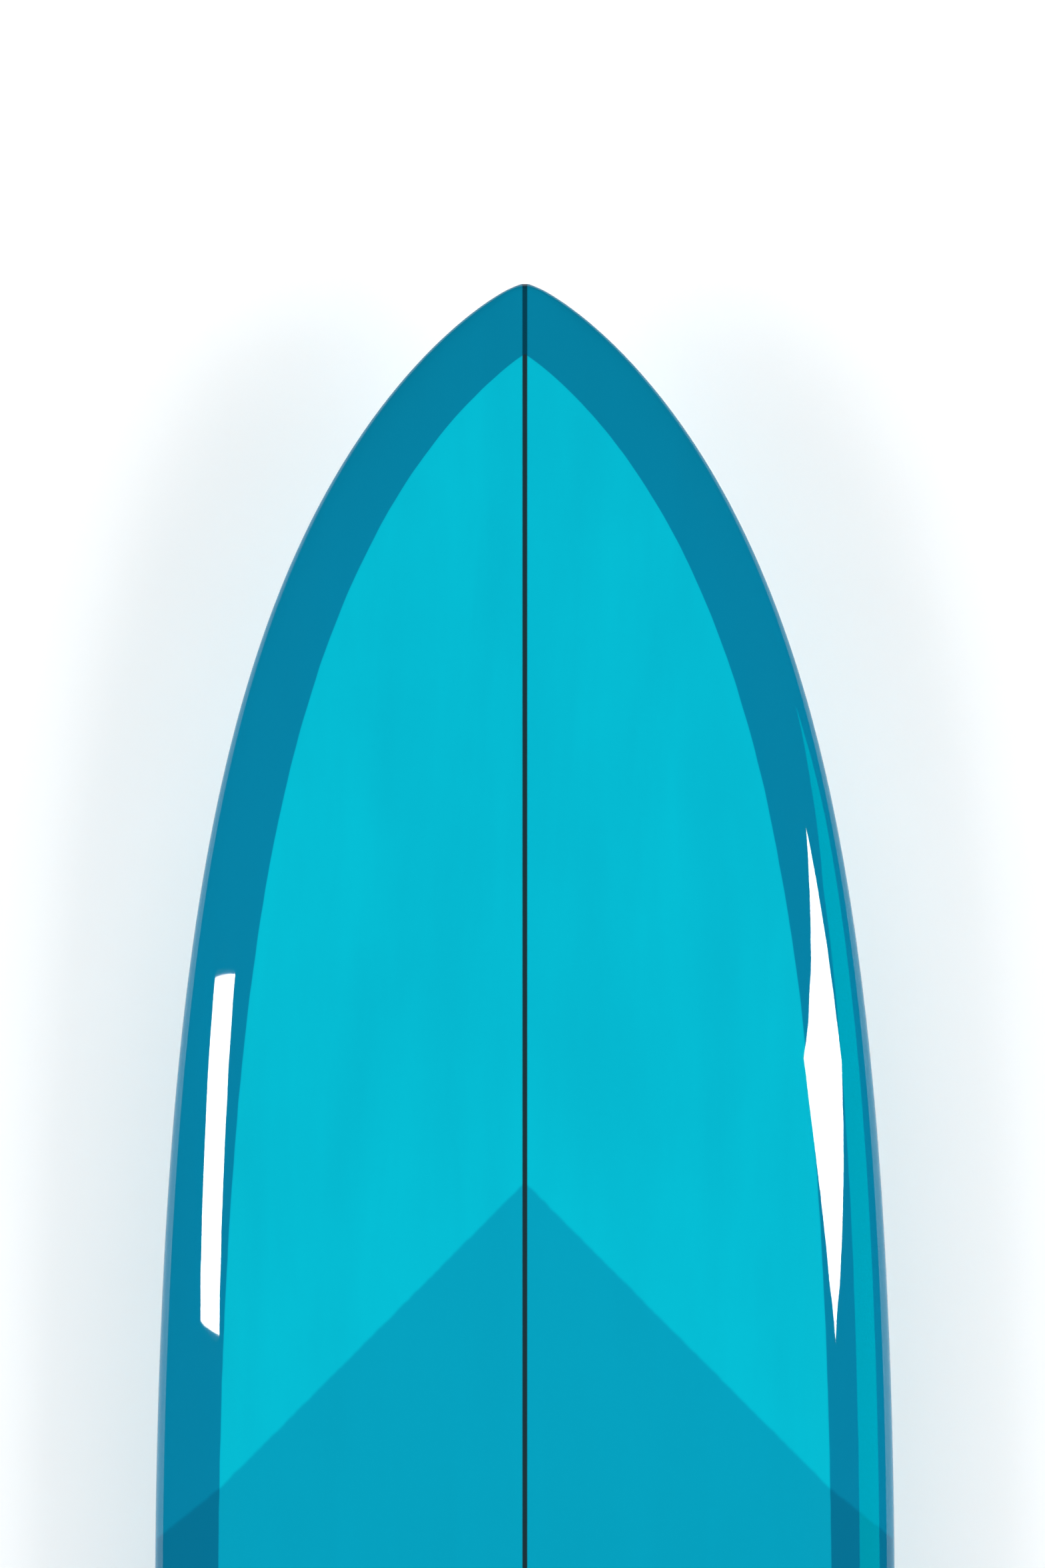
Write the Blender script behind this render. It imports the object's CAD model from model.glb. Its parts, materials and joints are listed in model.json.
import json
import math

import bmesh
import bpy
import numpy as np
from mathutils import Matrix, Vector


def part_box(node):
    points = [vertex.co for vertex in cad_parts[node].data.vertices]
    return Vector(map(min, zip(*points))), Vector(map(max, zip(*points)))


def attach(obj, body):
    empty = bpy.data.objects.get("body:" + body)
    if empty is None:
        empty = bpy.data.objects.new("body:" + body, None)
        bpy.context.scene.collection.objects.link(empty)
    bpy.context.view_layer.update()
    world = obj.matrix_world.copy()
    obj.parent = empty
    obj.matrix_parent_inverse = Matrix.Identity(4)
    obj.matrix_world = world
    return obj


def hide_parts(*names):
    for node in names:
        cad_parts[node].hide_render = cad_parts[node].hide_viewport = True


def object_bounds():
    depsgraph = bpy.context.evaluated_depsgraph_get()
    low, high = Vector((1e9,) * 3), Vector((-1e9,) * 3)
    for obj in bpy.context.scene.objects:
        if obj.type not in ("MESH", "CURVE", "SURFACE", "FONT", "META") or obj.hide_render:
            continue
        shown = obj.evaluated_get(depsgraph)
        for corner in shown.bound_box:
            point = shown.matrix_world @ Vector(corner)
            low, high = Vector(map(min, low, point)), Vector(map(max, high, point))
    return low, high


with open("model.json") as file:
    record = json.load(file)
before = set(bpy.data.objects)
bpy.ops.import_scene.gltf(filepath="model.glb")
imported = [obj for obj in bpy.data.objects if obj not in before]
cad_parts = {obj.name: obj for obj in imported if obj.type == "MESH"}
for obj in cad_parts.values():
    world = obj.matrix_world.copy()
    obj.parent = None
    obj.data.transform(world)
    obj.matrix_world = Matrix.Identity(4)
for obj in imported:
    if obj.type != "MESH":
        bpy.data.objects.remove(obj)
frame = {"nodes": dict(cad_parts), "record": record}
cad_low, cad_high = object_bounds()

MM = 0.001

# ---- the board's own sizes, in millimetres ----
LENGTH = 2896.0
HALF = LENGTH / 2
WIDTH = 762.0
THICKNESS = 108.0
NOSE_ROCKER, TAIL_ROCKER, ROCKER_POWER = 127.0, 63.0, 2.6
NOSE_FOIL, TAIL_FOIL, FOIL_POWER = 0.15, 0.28, 2.4
RAIL_APEX = 0.42
FLAT_DEPTH = 0.3
NOSE_BLUNT = 1.6
TAIL_CORNER = 30.0
NOSE_RISE, NOSE_POWER = 0.13215, 0.7817
TAIL_REACH, TAIL_POWER, TAIL_ROUND = 1.02, 5.0, 0.68
CUTLAP = 66.0              # the bottom cloth's lap on the deck
UNDERLAP = 52.0            # the deck cloth's lap on the bottom
PATCH_APEX = 921.7
PATCH_KNEE = (313.0, 1236.0)
PATCH_EDGE = (560.0, 1436.0)
STRINGER = 5.0

# cross-section from rail to rail, as shares of half width and height
DECK_SHAPE = [(-1, 0), (-1, 0.62), (-0.80, 1), (-0.42, 1), (0, 1),
              (0.42, 1), (0.80, 1), (1, 0.62), (1, 0)]
BOTTOM_SHAPE = [(-1, 0), (-1, 0.75), (-0.86, 1), (-0.45, 1), (0, 1),
                (0.45, 1), (0.86, 1), (1, 0.75), (1, 0)]
NOSE_ROUND = 8.0           # length over which the nose tip rounds over
NOSE_FULLNESS = 0.3        # the tip narrows less than it thins, by this power
TAIL_EDGE = 9.0            # length over which the tail's edge rounds over
TAIL_FLAT = 0.12           # share of the tail's height left as a flat face
CORNER_DEPTH = 0.75        # how far a tail corner is cut in, as a share of its length
CORNER_POWERS = (2.6, 2.1)
ACROSS = 72                # faces across the deck, and across the bottom
NOSE_STEPS, TAIL_STEPS = 12, 18
STEP_GROWTH, SHORT_STEP, LONG_STEP = 0.05, 1.6, 8.0
OUTLINE_STEP = 1.5

# pockets for the fittings: width, length and corner radius, and depth below the surface
POCKET_EASE = 0.25         # the resin line round a fitting
ABOVE = 12.0               # how far a cutter stands over the deck
HANDLE_POCKET, HANDLE_DEPTH = (104.0, 184.0, 29.0), 41.0
VENT_POCKET, VENT_DEPTH, VENT_PLACE = (28.0, 28.0, 15.0), 26.0, (45.0, 1638.0)
LEASH_POCKET, LEASH_DEPTH, LEASH_BACK = (38.0, 38.0, 20.0), 21.5, 2796.0
FIN_POCKET, FIN_CUT, FIN_PLACE = (34.0, 280.0, 8.0), (-14.0, 28.0), (2578.0, 32.7633)
SIDE_POCKET, SIDE_CUT = (13.0, 118.0, 5.0), (-16.0, 21.0)
SIDE_PLACE, SIDE_OUT = (2546.0, 35.4445), 192.5757


# ---- shape of the board ----
def outline_share(f):
    rise = (1 - math.exp(-f / NOSE_RISE)) ** NOSE_POWER
    return rise * max(0.0, 1 - (f / TAIL_REACH) ** TAIL_POWER) ** TAIL_ROUND


WIDEST = max(outline_share(i / 2000) for i in range(1, 2001))


def square_half_width(s):
    """Half the board's width at s millimetres from the nose, before the tail's corners are rounded."""
    return WIDTH / 2 * outline_share(max(s, 0.01) / LENGTH) / WIDEST


def half_width(s):
    """The same, with the tail's corners rounded."""
    full = square_half_width(s)
    into = s - (LENGTH - TAIL_CORNER)
    if into <= 0:
        return full
    end = square_half_width(LENGTH) - CORNER_DEPTH * TAIL_CORNER
    reach = min(into / TAIL_CORNER, 1.0)
    along, across = CORNER_POWERS
    return min(full, end + (full - end) * (1 - reach ** along) ** (1 / across))


def thickness(s):
    v = (s - HALF) / HALF
    end = NOSE_FOIL if v < 0 else TAIL_FOIL
    return THICKNESS * (end + (1 - end) * (1 - min(abs(v), 1.0) ** FOIL_POWER))


def rocker(s):
    v = (s - HALF) / HALF
    lift = NOSE_ROCKER if v < 0 else TAIL_ROCKER
    return lift * abs(v) ** ROCKER_POWER - FLAT_DEPTH


def apex_height(s):
    return rocker(s) + RAIL_APEX * thickness(s)


def deck_height(s):
    return rocker(s) + thickness(s)


def section(shape):
    """Points across a Bernstein cross-section from rail to rail, with its middle at height 1."""
    order = len(shape) - 1

    def weights(t):
        return [math.comb(order, i) * t**i * (1 - t) ** (order - i) for i in range(order + 1)]

    top = sum(w * p[1] for w, p in zip(weights(0.5), shape))
    points = []
    for k in range(ACROSS + 1):
        w = weights(k / ACROSS)
        x = sum(a * p[0] for a, p in zip(w, shape))
        z = sum(a * p[1] for a, p in zip(w, shape)) / top
        points.append((x, z))
    return points


def stations():
    """Distances from the nose: close together where the ends round over."""
    steps = [NOSE_BLUNT + NOSE_ROUND * (k / NOSE_STEPS) ** 2 for k in range(NOSE_STEPS + 1)]
    while steps[-1] < LENGTH - TAIL_CORNER - LONG_STEP:
        steps.append(steps[-1] + min(max(steps[-1] * STEP_GROWTH, SHORT_STEP), LONG_STEP))
    near = steps[-1]
    steps += [LENGTH - (LENGTH - near) * (k / TAIL_STEPS) ** 2 for k in range(TAIL_STEPS - 1, -1, -1)]
    return steps


def end_share(s):
    """How much of the section's height is left where the nose and the tail round over."""
    if s < NOSE_BLUNT + NOSE_ROUND:
        t = (NOSE_BLUNT + NOSE_ROUND - s) / NOSE_ROUND
        return math.sqrt(max(0.0, 1 - t * t))
    if s > LENGTH - TAIL_EDGE:
        t = (s - LENGTH + TAIL_EDGE) / TAIL_EDGE
        return TAIL_FLAT + (1 - TAIL_FLAT) * math.sqrt(1 - t * t) if t < 1 else 0.0
    return 1.0


def end_width_share(s):
    """How much of the section's width is left where the nose rounds over."""
    return end_share(s) ** NOSE_FULLNESS if s < HALF else 1.0


def back_from_nose(y):
    """The distance from the nose, in millimetres, of a place in metres."""
    return min(max(HALF - y / MM, 0.0), LENGTH)


def outline_points():
    """The board's outline seen from above, right side and tail, in metres."""
    points = [(0.0, HALF - NOSE_BLUNT)]
    s = NOSE_BLUNT
    while s < LENGTH:
        points.append((half_width(s), HALF - s))
        s += OUTLINE_STEP
    end = half_width(LENGTH)
    points += [(end * k / 60, -HALF) for k in range(60, -1, -1)]
    return np.array(points) * MM


def lap_distance(places):
    """Plan distance from the outline: above zero on the deck, below zero on the bottom."""
    edge = outline_points()
    found = np.empty(len(places))
    for start in range(0, len(places), 2000):
        part = places[start:start + 2000]
        gap = np.hypot(np.abs(part[:, 0])[:, None] - edge[None, :, 0],
                       part[:, 1][:, None] - edge[None, :, 1])
        found[start:start + 2000] = gap.min(axis=1)
    rails = np.array([apex_height(back_from_nose(y)) for y in places[:, 1]]) * MM
    return np.where(places[:, 2] >= rails - 1e-6, found, -found)


# ---- small helpers ----
def new_object(name, mesh):
    made = bpy.data.objects.new(name, mesh)
    bpy.context.scene.collection.objects.link(made)
    return made


def mesh_from(name, bm):
    mesh = bpy.data.meshes.new(name)
    bm.to_mesh(mesh)
    bm.free()
    return mesh


def baked(obj):
    """The object as its modifiers leave it, as a plain mesh with no modifiers."""
    depsgraph = bpy.context.evaluated_depsgraph_get()
    mesh = bpy.data.meshes.new_from_object(obj.evaluated_get(depsgraph), depsgraph=depsgraph)
    obj.modifiers.clear()
    obj.data = mesh
    return obj


def shade_smooth(mesh, degrees):
    mesh.shade_smooth()
    mesh.set_sharp_from_angle(angle=math.radians(degrees))


def hex_colour(text):
    """A screen colour in hex as linear light."""
    parts = [int(text[i:i + 2], 16) / 255 for i in (0, 2, 4)]
    return (*[c / 12.92 if c <= 0.04045 else ((c + 0.055) / 1.055) ** 2.4 for c in parts], 1.0)


def add(tree, kind, inputs=None, **settings):
    """Adds a node with its settings; an input is a value, or the socket it is linked from."""
    made = tree.nodes.new(kind)
    for key, value in settings.items():
        setattr(made, key, value)
    for key, value in (inputs or {}).items():
        if isinstance(value, bpy.types.NodeSocket):
            tree.links.new(value, made.inputs[key])
        else:
            made.inputs[key].default_value = value
    return made


def new_material(name):
    made = bpy.data.materials.new(name)
    made.use_nodes = True
    made.node_tree.nodes.clear()
    return made, made.node_tree


def maths(tree, operation, a, b=0.0, c=0.0):
    return add(tree, "ShaderNodeMath", {0: a, 1: b, 2: c}, operation=operation).outputs[0]


def fade(tree, value, low, high, start=0.0, end=1.0):
    """Goes smoothly from start to end as the value goes from low to high."""
    return add(tree, "ShaderNodeMapRange",
               {"Value": value, "From Min": low, "From Max": high, "To Min": start, "To Max": end},
               interpolation_type="SMOOTHSTEP").outputs[0]


def blend_colour(tree, share, a, b):
    return add(tree, "ShaderNodeMix", {0: share, 6: a, 7: b}, data_type="RGBA").outputs[2]


def per_metre(size):
    """Texture scale that gives a pattern of this size in millimetres."""
    return 1 / (size * MM)


def noise(tree, where, size, detail=2.0, rough=0.5, distortion=0.0):
    """Cloudy pattern with its coarsest part of this size in millimetres."""
    return add(tree, "ShaderNodeTexNoise", {"Vector": where, "Scale": per_metre(size), "Detail": detail,
                                            "Roughness": rough, "Distortion": distortion}).outputs[0]


def streaks(tree, where, sizes, detail=2.0, rough=0.5, distortion=0.0):
    """Cloudy pattern drawn out to these sizes in millimetres along x, y and z."""
    scale = [per_metre(size) for size in sizes]
    drawn_out = add(tree, "ShaderNodeMapping", {"Vector": where, "Scale": scale}).outputs[0]
    return noise(tree, drawn_out, 1 / MM, detail, rough, distortion)


def band_scale(spacing):
    """Wave scale for bands this many millimetres apart; at scale 1 there are 20 in two pi metres."""
    return math.pi / 10 * per_metre(spacing)


def strands(tree, where, direction, spacing, distortion):
    return add(tree, "ShaderNodeTexWave",
               {"Vector": where, "Scale": band_scale(spacing), "Distortion": distortion},
               wave_type="BANDS", bands_direction=direction).outputs["Fac"]


def bump(tree, height, strength, distance, below=None):
    inputs = {"Height": height, "Strength": strength, "Distance": distance}
    if below is not None:
        inputs["Normal"] = below
    return add(tree, "ShaderNodeBump", inputs).outputs[0]


def surface(tree, **inputs):
    shader = add(tree, "ShaderNodeBsdfPrincipled",
                 {key.replace("_", " "): value for key, value in inputs.items()})
    add(tree, "ShaderNodeOutputMaterial", {"Surface": shader.outputs[0]})


def object_place(tree):
    return add(tree, "ShaderNodeTexCoord").outputs["Object"]


# ---- materials ----
def tinted_glassing():
    """Glass cloth in tinted resin under a polished clear hot coat: deep even colour, darker where two
    cloths lap, with sharp mirror-like highlights that waver a little with the hand sanding.
    The gloss is all in the coat, so the resin under it has no highlight of its own."""
    made, tree = new_material("tinted_resin_glassing")
    where = object_place(tree)
    x, y, _ = add(tree, "ShaderNodeSeparateXYZ", {0: where}).outputs
    inset = add(tree, "ShaderNodeAttribute", attribute_name="lap_inset").outputs["Fac"]
    side = maths(tree, "ABSOLUTE", x)
    drift = noise(tree, where, 38.46, 1.0)
    cut_inset = maths(tree, "MULTIPLY_ADD", drift, 0.0014, maths(tree, "SUBTRACT", inset, 0.0007))

    # the band where the bottom cloth laps onto the deck and the deck cloth under the rail
    on_top = fade(tree, cut_inset, (CUTLAP - 0.7) * MM, (CUTLAP + 0.7) * MM, 1.0, 0.0)
    under = fade(tree, cut_inset, -(UNDERLAP + 0.7) * MM, -(UNDERLAP - 0.7) * MM)
    lap = maths(tree, "MULTIPLY", on_top, under)

    # the second cloth under the standing area, with its pointed front edge
    back = maths(tree, "SUBTRACT", HALF * MM, y)
    kx, ks = PATCH_KNEE
    first = maths(tree, "MULTIPLY_ADD", side, (ks - PATCH_APEX) / kx, PATCH_APEX * MM)
    rest_slope = (PATCH_EDGE[1] - ks) / (PATCH_EDGE[0] - kx)
    second = maths(tree, "MULTIPLY_ADD", side, rest_slope, (ks - kx * rest_slope) * MM)
    front = maths(tree, "MINIMUM", first, second)
    past = maths(tree, "SUBTRACT", back, front)
    fray = noise(tree, where, 11.11, 2.0)
    past = maths(tree, "MULTIPLY_ADD", fray, 0.003, maths(tree, "SUBTRACT", past, 0.0015))
    patch = maths(tree, "MULTIPLY", fade(tree, past, -0.0028, 0.0028), fade(tree, inset, 0.0, 0.004))

    # the glued-in stringer, seen through the cloth along the middle
    line = fade(tree, side, (STRINGER / 2 - 0.5) * MM, (STRINGER / 2 + 0.5) * MM, 1.0, 0.0)

    # pigment settles unevenly as the resin is spread: long faint strokes and soft clouds
    strokes = streaks(tree, where, (69.44, 480.8, 625.0), 4.0, 0.55, 0.4)
    clouds = noise(tree, where, 322.6, 3.0, 0.5, 0.2)
    pooled = maths(tree, "MULTIPLY_ADD", strokes, 0.5, maths(tree, "MULTIPLY", clouds, 0.5))

    deck = blend_colour(tree, fade(tree, pooled, 0.3, 0.7), hex_colour("00a6bd"), hex_colour("00acc1"))
    toward_nose = fade(tree, y, 1.12, 1.38)
    band = blend_colour(tree, toward_nose, hex_colour("007596"), hex_colour("007493"))
    cloth = blend_colour(tree, patch, deck, hex_colour("0091ad"))
    band_cloth = blend_colour(tree, patch, band, hex_colour("006686"))
    glassed = blend_colour(tree, lap, cloth, band_cloth)
    wood = blend_colour(tree, lap, hex_colour("192b31"), hex_colour("013748"))
    colour = blend_colour(tree, line, glassed, wood)
    shade = fade(tree, pooled, 0.25, 0.75, 0.975, 1.025)
    tint = add(tree, "ShaderNodeHueSaturation", {"Color": colour, "Value": shade}).outputs[0]

    sanding = noise(tree, where, 142.9, 2.0, 0.45)
    ripple = bump(tree, sanding, 0.35, 0.0012)
    step = maths(tree, "ADD", maths(tree, "MULTIPLY", on_top, 0.5), maths(tree, "MULTIPLY", patch, 0.5))
    steps = bump(tree, step, 0.5, 0.00025, ripple)
    haze = streaks(tree, where, (71.43, 200.0, 125.0), 5.0, 0.6)
    surface(tree, Base_Color=tint, Roughness=fade(tree, haze, 0.3, 0.75, 0.16, 0.26), Normal=steps,
            Coat_Normal=ripple, Coat_Weight=1.0, Coat_Roughness=0.015, Coat_IOR=1.46, IOR=1.45,
            Specular_IOR_Level=0.0)
    return made


def sheet_cloth():
    """Second layer of wetted glass cloth: the crossing strands show as a fine square weave."""
    made, tree = new_material("wetted_glass_cloth")
    where = object_place(tree)
    warp = strands(tree, where, "X", 1.208, 0.4)
    weft = strands(tree, where, "Y", 1.208, 0.4)
    weave = maths(tree, "MULTIPLY", warp, weft)
    cloud = noise(tree, where, 125.0, 3.0)
    colour = blend_colour(tree, cloud, hex_colour("009cb8"), hex_colour("00aac6"))
    woven = blend_colour(tree, maths(tree, "MULTIPLY", weave, 0.3), colour, hex_colour("5fc3d4"))
    surface(tree, Base_Color=woven, Roughness=0.3, Normal=bump(tree, weave, 0.4, 0.0002),
            Coat_Weight=0.6, Coat_Roughness=0.08)
    return made


def bead_foam(name, pale, deep, bead):
    """Moulded bead foam, cut with a hot wire: packed cells, dull and dry. The bead is in millimetres."""
    made, tree = new_material(name)
    packed = {"Vector": object_place(tree), "Scale": per_metre(bead), "Randomness": 0.9}
    cells = add(tree, "ShaderNodeTexVoronoi", packed)
    edges = add(tree, "ShaderNodeTexVoronoi", packed, feature="DISTANCE_TO_EDGE").outputs["Distance"]
    grey = add(tree, "ShaderNodeRGBToBW", {0: cells.outputs["Color"]}).outputs[0]
    colour = blend_colour(tree, grey, hex_colour(pale), hex_colour(deep))
    seams = fade(tree, edges, 0.0, 0.06)
    surface(tree, Base_Color=colour, Roughness=0.85, Normal=bump(tree, seams, 0.5, 0.0006),
            Specular_IOR_Level=0.25)
    return made


def stained_stringer():
    """Ply strip stained near black: long grain with open pores."""
    made, tree = new_material("stained_ply_stringer")
    where = object_place(tree)
    grain = streaks(tree, where, (3.846, 200.0, 16.67), 6.0, 0.6, 0.3)
    long_grain = add(tree, "ShaderNodeMapping", {"Vector": where, "Scale": (1.0, 0.03, 1.0)}).outputs[0]
    rings = add(tree, "ShaderNodeTexWave",
                {"Vector": long_grain, "Scale": band_scale(4.488), "Distortion": 5.0,
                 "Detail": 3.0}).outputs["Fac"]
    figure = maths(tree, "MULTIPLY_ADD", grain, 0.6, maths(tree, "MULTIPLY", rings, 0.4))
    colour = blend_colour(tree, figure, hex_colour("16181a"), hex_colour("35302b"))
    surface(tree, Base_Color=colour, Roughness=fade(tree, figure, 0.2, 0.8, 0.62, 0.48),
            Normal=bump(tree, figure, 0.3, 0.0004))
    return made


def moulded_plastic(name, dark, worn, rough):
    """Injection-moulded nylon with a spark-eroded texture: fine even grain and a soft sheen,
    a little paler and smoother where it is rubbed."""
    made, tree = new_material(name)
    where = object_place(tree)
    grain = noise(tree, where, 1.111, 3.0, 0.6)
    flow = noise(tree, where, 28.57, 3.0, 0.5, 0.5)
    rubbed = fade(tree, noise(tree, where, 16.67, 4.0, 0.65), 0.52, 0.72)
    colour = blend_colour(tree, rubbed, hex_colour(dark), hex_colour(worn))
    finish = maths(tree, "MULTIPLY_ADD", flow, 0.12, maths(tree, "MULTIPLY_ADD", rubbed, -0.1, rough))
    surface(tree, Base_Color=colour, Roughness=finish, Normal=bump(tree, grain, 0.25, 0.00012))
    return made


def soft_rubber(name, dark, dusty):
    """Moulded rubber: dead black and matt, with dust caught in a fine pebbled skin."""
    made, tree = new_material(name)
    where = object_place(tree)
    pebbled = {"Vector": where, "Scale": per_metre(0.7143)}
    pebbles = add(tree, "ShaderNodeTexVoronoi", pebbled).outputs["Distance"]
    dust = fade(tree, noise(tree, where, 22.22, 5.0, 0.7), 0.5, 0.8)
    colour = blend_colour(tree, dust, hex_colour(dark), hex_colour(dusty))
    surface(tree, Base_Color=colour, Roughness=fade(tree, dust, 0.0, 1.0, 0.62, 0.82),
            Normal=bump(tree, pebbles, 0.3, 0.0001), Sheen_Weight=0.08, Sheen_Roughness=0.5)
    return made


def porous_film():
    """Thin white breathing film: felted fibres, chalky and dull."""
    made, tree = new_material("porous_vent_film")
    where = object_place(tree)
    fibres = noise(tree, where, 0.4545, 5.0, 0.75, 1.5)
    colour = blend_colour(tree, fibres, hex_colour("d9d9d4"), hex_colour("f4f4f0"))
    surface(tree, Base_Color=colour, Roughness=0.8, Normal=bump(tree, fibres, 0.3, 0.0001))
    return made


def turned_metal(name, pale, deep, rough):
    """Bar stock turned on a lathe: fine tool lines that draw the highlight out, with faint tarnish."""
    made, tree = new_material(name)
    where = object_place(tree)
    lines = streaks(tree, where, (1.667, 1.667, 0.3846), 3.0, 0.7)
    tarnish = fade(tree, noise(tree, where, 5.556, 4.0, 0.6), 0.35, 0.75)
    colour = blend_colour(tree, tarnish, hex_colour(pale), hex_colour(deep))
    finish = maths(tree, "MULTIPLY_ADD", lines, 0.16, maths(tree, "MULTIPLY_ADD", tarnish, 0.08, rough))
    surface(tree, Base_Color=colour, Metallic=1.0, Roughness=finish,
            Normal=bump(tree, lines, 0.12, 0.00006))
    return made


def fin_layup():
    """Solid glass and resin layup, foiled and polished: crossing strands just under a clear gloss."""
    made, tree = new_material("foiled_glass_layup")
    where = object_place(tree)
    along = strands(tree, where, "Y", 0.952, 0.6)
    down = strands(tree, where, "Z", 0.952, 0.6)
    weave = maths(tree, "MULTIPLY", along, down)
    depth = noise(tree, where, 71.43, 3.0)
    base = blend_colour(tree, depth, hex_colour("0b3a48"), hex_colour("115466"))
    colour = blend_colour(tree, maths(tree, "MULTIPLY", weave, 0.35), base, hex_colour("2f8797"))
    surface(tree, Base_Color=colour, Roughness=fade(tree, weave, 0.0, 1.0, 0.3, 0.22),
            Normal=bump(tree, weave, 0.06, 0.0001), Coat_Weight=0.9, Coat_Roughness=0.04)
    return made


def studio_paper():
    """Seamless white paper: bright and matt, with the faintest pulp mottle."""
    made, tree = new_material("seamless_paper")
    where = object_place(tree)
    pulp = noise(tree, where, 55.56, 3.0)
    colour = blend_colour(tree, pulp, hex_colour("fdfdfd"), hex_colour("ffffff"))
    surface(tree, Base_Color=colour, Roughness=0.9, Specular_IOR_Level=0.0)
    return made


finishes = {
    "deck_resin": tinted_glassing(),
    "patch_cloth": sheet_cloth(),
    "foam": bead_foam("expanded_bead_foam", "eeeeea", "dcdcd6", 3.03),
    "dense_foam": bead_foam("dense_moulded_foam", "cdb48c", "b79a70", 1.111),
    "stringer_wood": stained_stringer(),
    "black_plastic": moulded_plastic("moulded_black_nylon", "101113", "1d1f22", 0.42),
    "grip_rubber": soft_rubber("grip_rubber_skin", "0e0e0f", "1c1c1c"),
    "seal_rubber": soft_rubber("seal_ring_rubber", "0b0b0b", "141414"),
    "membrane": porous_film(),
    "stainless": turned_metal("turned_stainless", "c9c8c4", "a5a49f", 0.22),
    "brass": turned_metal("machined_brass", "cfae68", "a5823f", 0.26),
    "fin_glass": fin_layup(),
}
finishes["lap_resin"] = finishes["deck_resin"]


# ---- camera and studio ----
CAMERA_HEIGHT = 16.0       # metres
FIELD = 1.609              # length in view at the deck's height
DECK_LEVEL = 0.09
SENSOR = 36.0
camera = bpy.data.cameras.new("camera")
camera.sensor_fit = "VERTICAL"
camera.sensor_height = SENSOR
camera.lens = SENSOR * (CAMERA_HEIGHT - DECK_LEVEL) / FIELD
camera.clip_end = 60.0
camera_object = bpy.data.objects.new("camera", camera)
camera_object.location = (-0.0024, 0.9345, CAMERA_HEIGHT)
bpy.context.scene.collection.objects.link(camera_object)
bpy.context.scene.camera = camera_object
bpy.context.scene.view_settings.view_transform = "Standard"

FLOOR = cad_low.z - 0.004  # just clear of the fin
FLOOR_REACH = 9.0
bm = bmesh.new()
floor_place = Matrix.Translation((0, 0, FLOOR))
bmesh.ops.create_grid(bm, x_segments=1, y_segments=1, size=FLOOR_REACH, matrix=floor_place)
floor = new_object("studio_floor", mesh_from("studio_floor", bm))
floor.data.materials.append(studio_paper())

world = bpy.data.worlds.new("studio_air")
world.use_nodes = True
world.node_tree.nodes["Background"].inputs["Color"].default_value = (1.0, 0.99, 0.98, 1.0)
world.node_tree.nodes["Background"].inputs["Strength"].default_value = 0.05
bpy.context.scene.world = world


def softbox(name, place, aim, size, power):
    light = bpy.data.lights.new(name, "AREA")
    light.shape = "RECTANGLE"
    light.size, light.size_y = size
    light.energy = power
    made = bpy.data.objects.new(name, light)
    made.location = place
    made.rotation_euler = (Vector(aim) - Vector(place)).to_track_quat("-Z", "Y").to_euler()
    made.visible_glossy = False
    bpy.context.scene.collection.objects.link(made)


softbox("soft_left", (-4.2, 0.4, 3.3), (0, 0.4, 0), (3.2, 6.0), 268)
softbox("soft_right", (4.2, 0.4, 3.3), (0, 0.4, 0), (3.2, 6.0), 277)
softbox("soft_front", (0, 6.4, 4.2), (0, 0.6, 0), (5.0, 2.4), 154)
softbox("soft_back", (0, -6.0, 4.2), (0, 0.2, 0), (5.0, 2.4), 154)


def reflected_panel(name, corners, strength, tone=(1.0, 1.0, 1.0)):
    """A lit panel seen only as a highlight in the gloss."""
    bm = bmesh.new()
    bm.faces.new([bm.verts.new(c) for c in corners])
    made = new_object(name, mesh_from(name, bm))
    glow, tree = new_material(name + "_glow")
    shader = add(tree, "ShaderNodeEmission", {"Color": (*tone, 1.0), "Strength": strength})
    add(tree, "ShaderNodeOutputMaterial", {"Surface": shader.outputs[0]})
    made.data.materials.append(glow)
    made.visible_camera = False
    made.visible_diffuse = False
    made.visible_shadow = False


reflected_panel("strip_panel", [(-1.66, 0.75, 1.5), (-1.09, 0.71, 1.5), (-1.05, 0.31, 1.5),
                                (-1.42, 0.33, 1.5)], 40.0)
reflected_panel("kite_panel", [(1.29, 0.91, 1.5), (0.86, 0.60, 1.5), (1.12, 0.31, 1.5),
                               (1.64, 0.635, 1.5)], 40.0)
reflected_panel("right_sheen", [(1.72, 0.86, 1.6), (2.6, 1.35, 1.6), (4.4, 1.35, 1.6), (4.4, -0.9, 1.6),
                                (1.72, -0.9, 1.6)], 4.4, (0.0, 0.99, 0.86))


# ---- pockets for the fittings ----
def pocket(bm, size, low, high, place):
    """Adds an upright rounded block, with room for the resin round the fitting, to a mesh of cutters."""
    width, length, corner = size
    x, y = width / 2 + POCKET_EASE, length / 2 + POCKET_EASE
    corner = min(corner + POCKET_EASE, x, y)
    ring = []
    for cx, cy, turn in ((x - corner, y - corner, 0), (corner - x, y - corner, 1),
                         (corner - x, corner - y, 2), (x - corner, corner - y, 3)):
        for k in range(17):
            angle = math.pi / 2 * (turn + k / 16)
            ring.append((cx + corner * math.cos(angle), cy + corner * math.sin(angle)))
    lower = [bm.verts.new(place @ (Vector((a, b, low)) * MM)) for a, b in ring]
    upper = [bm.verts.new(place @ (Vector((a, b, high)) * MM)) for a, b in ring]
    bm.faces.new(lower[::-1])
    bm.faces.new(upper)
    for i in range(len(ring)):
        j = (i + 1) % len(ring)
        bm.faces.new((lower[i], lower[j], upper[j], upper[i]))


def bottom_place(s, x, z):
    slope = (rocker(s + 1) - rocker(s - 1)) / 2
    return Matrix.Translation(Vector((x, HALF - s, z)) * MM) @ Matrix.Rotation(-math.atan(slope), 4, "X")


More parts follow.
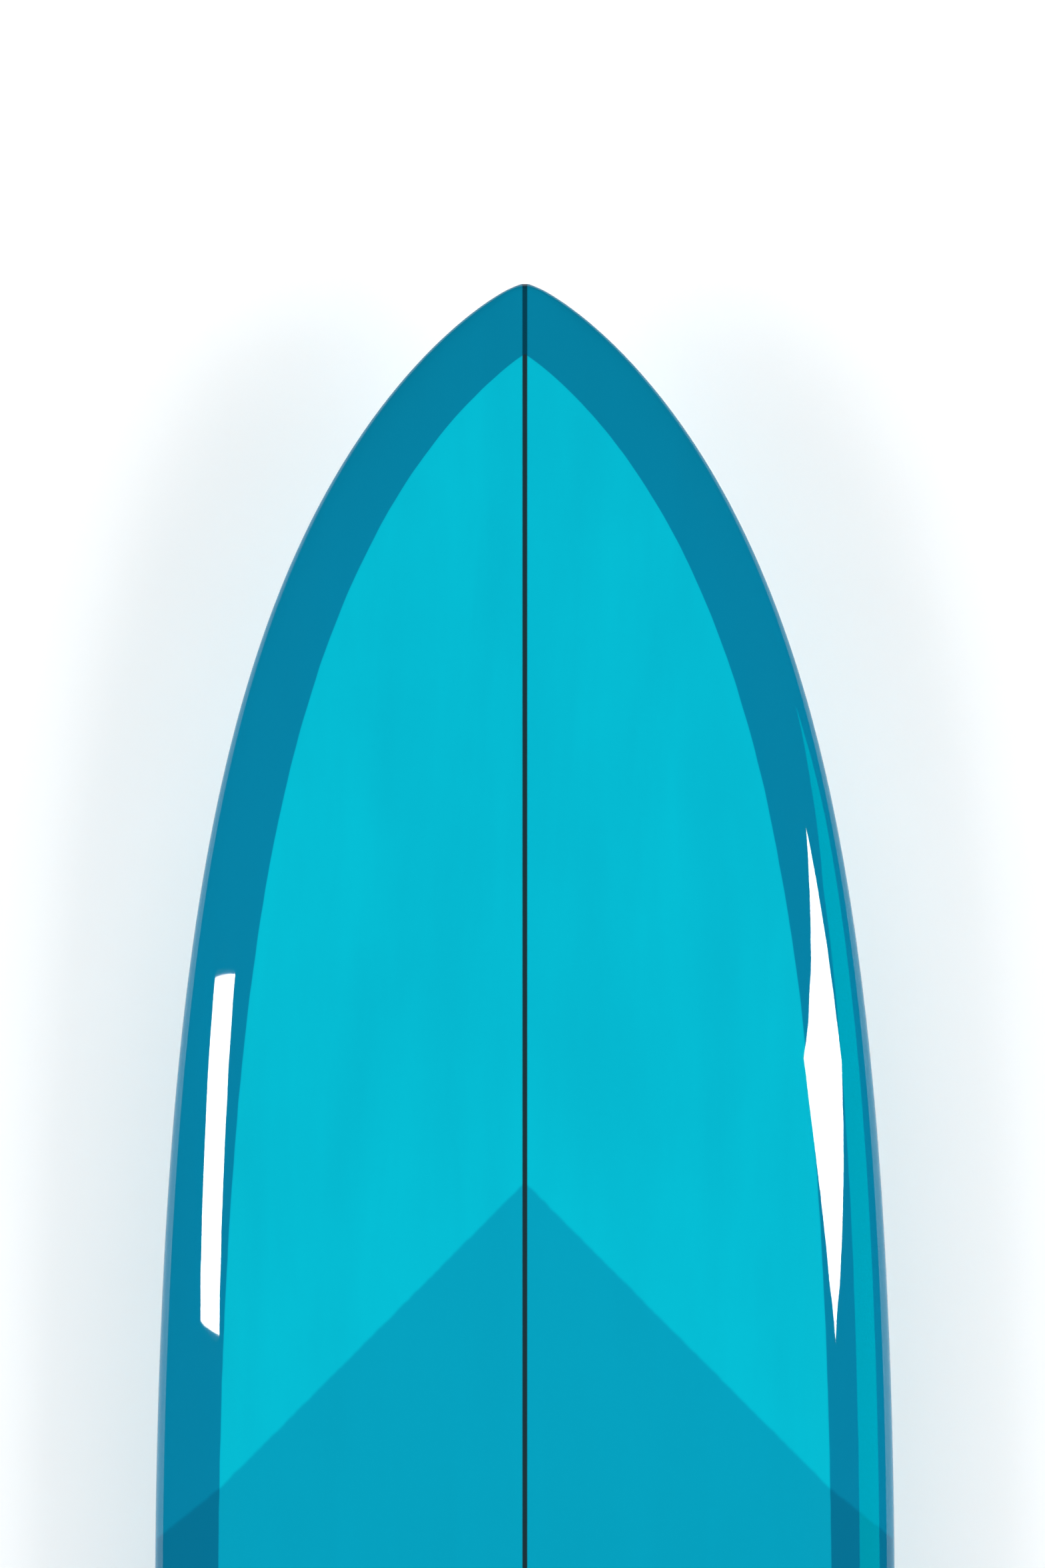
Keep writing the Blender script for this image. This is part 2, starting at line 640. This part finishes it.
def fitting_cutters():
    bm = bmesh.new()
    middle = deck_height(HALF)
    pocket(bm, HANDLE_POCKET, middle - HANDLE_DEPTH, middle + ABOVE, Matrix())
    vent = Matrix.Translation(Vector((VENT_PLACE[0], HALF - VENT_PLACE[1], 0)) * MM)
    pocket(bm, VENT_POCKET, middle - VENT_DEPTH, middle + ABOVE, vent)
    leash = Matrix.Translation(Vector((0, HALF - LEASH_BACK, 0)) * MM)
    deck = deck_height(LEASH_BACK)
    pocket(bm, LEASH_POCKET, deck - LEASH_DEPTH, deck + ABOVE, leash)
    pocket(bm, FIN_POCKET, *FIN_CUT, bottom_place(FIN_PLACE[0], 0.0, FIN_PLACE[1]))
    for x in (-SIDE_OUT, SIDE_OUT):
        pocket(bm, SIDE_POCKET, *SIDE_CUT, bottom_place(SIDE_PLACE[0], x, SIDE_PLACE[1]))
    bmesh.ops.remove_doubles(bm, verts=bm.verts, dist=1e-6)
    bmesh.ops.recalc_face_normals(bm, faces=bm.faces)
    return mesh_from("fitting_cutters", bm)


# ---- the glassed surface, one skin over deck, rails and bottom ----
def glassed_skin():
    deck, bottom = section(DECK_SHAPE), section(BOTTOM_SHAPE)
    bm = bmesh.new()
    rings = []
    for s in stations():
        kept = end_share(s)
        wide = half_width(s) * end_width_share(s)
        rail = apex_height(s)
        up = (1 - RAIL_APEX) * thickness(s) * kept
        down = RAIL_APEX * thickness(s) * kept
        # at the two ends the section closes to a line, so the bottom's points fall on the deck's
        below = deck if kept == 0.0 else bottom
        ring = [(x * wide, HALF - s, rail + z * up) for x, z in deck]
        ring += [(below[k][0] * wide, HALF - s, rail - bottom[k][1] * down)
                 for k in range(ACROSS - 1, 0, -1)]
        rings.append([bm.verts.new(Vector(p) * MM) for p in ring])
    for a, b in zip(rings, rings[1:]):
        for i in range(len(a)):
            j = (i + 1) % len(a)
            bm.faces.new((a[i], a[j], b[j], b[i]))
    bmesh.ops.remove_doubles(bm, verts=bm.verts, dist=2e-6)
    bmesh.ops.dissolve_degenerate(bm, edges=bm.edges, dist=1e-7)
    bmesh.ops.recalc_face_normals(bm, faces=bm.faces)
    for v in bm.verts:
        v.co.z = max(v.co.z, 0.0)    # the flat under the middle of the bottom
    skin = new_object("glassed_skin", mesh_from("glassed_skin", bm))
    tool = new_object("fitting_cutters", fitting_cutters())
    cut = skin.modifiers.new("pockets", "BOOLEAN")
    cut.operation, cut.solver, cut.object = "DIFFERENCE", "EXACT", tool
    baked(skin)
    bpy.data.objects.remove(tool)
    mesh = skin.data
    mesh.materials.clear()
    mesh.materials.append(finishes["deck_resin"])
    places = np.empty(len(mesh.vertices) * 3)
    mesh.vertices.foreach_get("co", places)
    inset = mesh.attributes.new("lap_inset", "FLOAT", "POINT")
    inset.data.foreach_set("value", lap_distance(places.reshape(-1, 3)).astype(np.float32))
    shade_smooth(mesh, 32)
    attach(skin, "board")
    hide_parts("deck_laminate", "rail_lap", "bottom_laminate")


glassed_skin()


# ---- the core's ends, rounded over with the skin ----
LEAST_HEIGHT = 0.1         # share of its height that a core piece keeps at its very end


def rounded_core(node):
    """A CAD piece of the core, with its end drawn in as far as the skin's, so that it stays inside."""
    bm = bmesh.new()
    bm.from_mesh(frame["nodes"][node].data)
    bmesh.ops.remove_doubles(bm, verts=bm.verts, dist=2e-6)
    for v in bm.verts:
        s = back_from_nose(v.co.y)
        share = max(end_share(s), LEAST_HEIGHT)
        mid = apex_height(s) * MM
        v.co.x *= end_width_share(s) * half_width(s) / square_half_width(s)
        v.co.z = mid + (v.co.z - mid) * share
    made = new_object(node + "_shaped", mesh_from(node + "_shaped", bm))
    slot = next(e["material_slot"] for e in frame["record"]["subparts"] if e["node"] == node)
    made.data.materials.append(finishes[slot])
    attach(made, "board")
    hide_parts(node)


for core_piece in ("foam_front_left", "foam_front_right", "stringer_front",
                   "foam_tail_left", "foam_tail_right", "tail_block"):
    rounded_core(core_piece)


# ---- moulded and turned fittings with their edges broken ----
def eased_copy(node, body, slot, name, width):
    """A CAD piece with its hard edges rounded over this width, as a mould or a lathe leaves them."""
    bm = bmesh.new()
    bm.from_mesh(frame["nodes"][node].data)
    bmesh.ops.remove_doubles(bm, verts=bm.verts, dist=2e-6)
    bmesh.ops.dissolve_limit(bm, angle_limit=math.radians(0.6), verts=bm.verts, edges=bm.edges)
    made = new_object(name, mesh_from(name, bm))
    edge = made.modifiers.new("edges", "BEVEL")
    edge.width, edge.segments = width, 2
    edge.limit_method, edge.angle_limit = "ANGLE", math.radians(40)
    baked(made)
    made.data.materials.clear()
    made.data.materials.append(finishes[slot])
    shade_smooth(made.data, 35)
    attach(made, body)
    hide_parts(node)


eased_copy("handle_cup", "board", "black_plastic", "handle_cup_moulded", 0.0007)
eased_copy("vent_insert", "board", "black_plastic", "vent_insert_moulded", 0.0004)
eased_copy("leash_cup", "board", "black_plastic", "leash_cup_moulded", 0.0006)
eased_copy("vent_plug", "vent_plug", "black_plastic", "vent_plug_moulded", 0.0004)
eased_copy("fin_screw", "fin_screw", "stainless", "fin_screw_turned", 0.0002)


# ---- ribs moulded around the hand grip ----
def grip_ribs():
    tree = bpy.data.node_groups.new("grip_ribs", "GeometryNodeTree")
    face = tree.interface
    sizes = {"Grip Length": 0.108, "Rib Pitch": 0.006, "Ring Radius": 0.0099, "Rib Radius": 0.0011}
    for key in sizes:
        face.new_socket(key, in_out="INPUT", socket_type="NodeSocketFloat")
    face.new_socket("Rubber", in_out="INPUT", socket_type="NodeSocketMaterial")
    face.new_socket("Ribs", in_out="OUTPUT", socket_type="NodeSocketGeometry")
    given = add(tree, "NodeGroupInput").outputs
    count = maths(tree, "DIVIDE", given["Grip Length"], given["Rib Pitch"])
    half = maths(tree, "MULTIPLY", given["Grip Length"], -0.5)
    start = add(tree, "ShaderNodeCombineXYZ", {"Y": half}).outputs[0]
    pitch = add(tree, "ShaderNodeCombineXYZ", {"Y": given["Rib Pitch"]}).outputs[0]
    row = add(tree, "GeometryNodeMeshLine", {"Count": maths(tree, "ADD", count, 1.0),
                                             "Start Location": start, "Offset": pitch}, mode="OFFSET")
    ring = add(tree, "GeometryNodeCurvePrimitiveCircle",
               {"Resolution": 48, "Radius": given["Ring Radius"]})
    profile = add(tree, "GeometryNodeCurvePrimitiveCircle",
                  {"Resolution": 10, "Radius": given["Rib Radius"]})
    rib = add(tree, "GeometryNodeCurveToMesh",
              {"Curve": ring.outputs[0], "Profile Curve": profile.outputs[0]})
    placed = add(tree, "GeometryNodeInstanceOnPoints",
                 {"Points": row.outputs[0], "Instance": rib.outputs[0], "Rotation": (math.pi / 2, 0, 0)})
    real = add(tree, "GeometryNodeRealizeInstances", {0: placed.outputs[0]})
    smooth = add(tree, "GeometryNodeSetShadeSmooth", {0: real.outputs[0]})
    dressed = add(tree, "GeometryNodeSetMaterial",
                  {"Geometry": smooth.outputs[0], "Material": given["Rubber"]})
    add(tree, "NodeGroupOutput", {0: dressed.outputs[0]})

    made = new_object("grip_ribs", bpy.data.meshes.new("grip_ribs"))
    ribs = made.modifiers.new("ribs", "NODES")
    ribs.node_group = tree
    for item in face.items_tree:
        if item.in_out == "INPUT" and item.name in sizes:
            ribs[item.identifier] = sizes[item.name]
        if item.name == "Rubber":
            ribs[item.identifier] = finishes["grip_rubber"]
    baked(made)
    low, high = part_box("grip_sleeve")
    made.data.transform(Matrix.Translation((low + high) / 2))
    made.data.update()
    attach(made, "board")


grip_ribs()

# ---- CAD pieces that keep their shape get the same finishes ----
for entry in frame["record"]["subparts"]:
    node = frame["nodes"][entry["node"]]
    node.data.materials.clear()
    node.data.materials.append(finishes[entry["material_slot"]])
